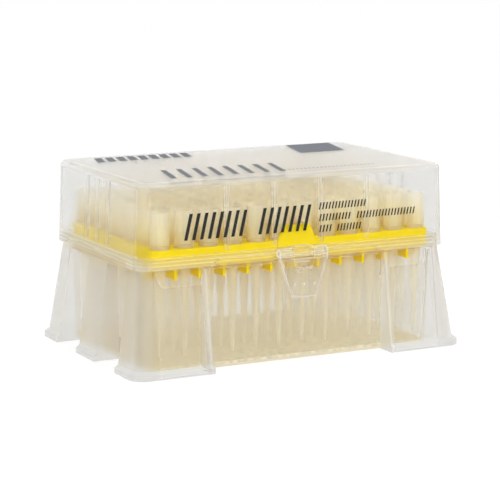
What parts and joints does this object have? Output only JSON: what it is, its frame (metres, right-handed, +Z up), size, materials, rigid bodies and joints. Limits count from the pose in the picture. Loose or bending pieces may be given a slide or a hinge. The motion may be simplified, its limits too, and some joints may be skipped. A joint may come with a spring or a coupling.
{
  "type": "pipette tip box",
  "caption": "Hinged frosted plastic box of filtered pipette tips: footed base, snap-latch lid, coloured lift-out tray holding rows of hollow tips with porous filters",
  "frame": {"origin": "middle of the footprint, on the surface that the feet stand on", "axes": "+Z up, +X along the long side, -Y towards the latch and +Y towards the hinge"},
  "size_m": [0.1278, 0.0854, 0.0645],
  "materials": {
    "frosted_shell": "frosted translucent natural polypropylene",
    "tray_yellow": "opaque moulded, light sheen",
    "tip_natural": "smooth translucent natural polypropylene",
    "filter_white": "porous sintered polyethylene",
    "print_ink": "thin matt dark pad-printed ink on the lid"
  },
  "bodies": {
    "base": {"base": "frosted_shell", "tip_tray": "tray_yellow", "tips_column_01": "tip_natural", "tips_column_02": "tip_natural", "tips_column_03": "tip_natural", "tips_column_04": "tip_natural", "tips_column_05": "tip_natural", "tips_column_06": "tip_natural", "tips_column_07": "tip_natural", "tips_column_08": "tip_natural", "tips_column_09": "tip_natural", "tips_column_10": "tip_natural", "tips_column_11": "tip_natural", "tips_column_12": "tip_natural", "filters_column_01": "filter_white", "filters_column_02": "filter_white", "filters_column_03": "filter_white", "filters_column_04": "filter_white", "filters_column_05": "filter_white", "filters_column_06": "filter_white", "filters_column_07": "filter_white", "filters_column_08": "filter_white", "filters_column_09": "filter_white", "filters_column_10": "filter_white", "filters_column_11": "filter_white", "filters_column_12": "filter_white"},
    "lid": {"lid": "frosted_shell"},
    "latch": {"latch": "frosted_shell"}
  },
  "joints": [
    {"name": "lid_hinge", "type": "hinge", "parent": "base", "child": "lid", "pos_m": [0, 0.0405, 0.0372], "axis": [-1, 0, 0], "range_deg": [0, 110]},
    {"name": "latch_hinge", "type": "hinge", "parent": "lid", "child": "latch", "pos_m": [0, -0.0399, 0.0383], "axis": [-1, 0, 0], "range_deg": [0, 90]}
  ]
}
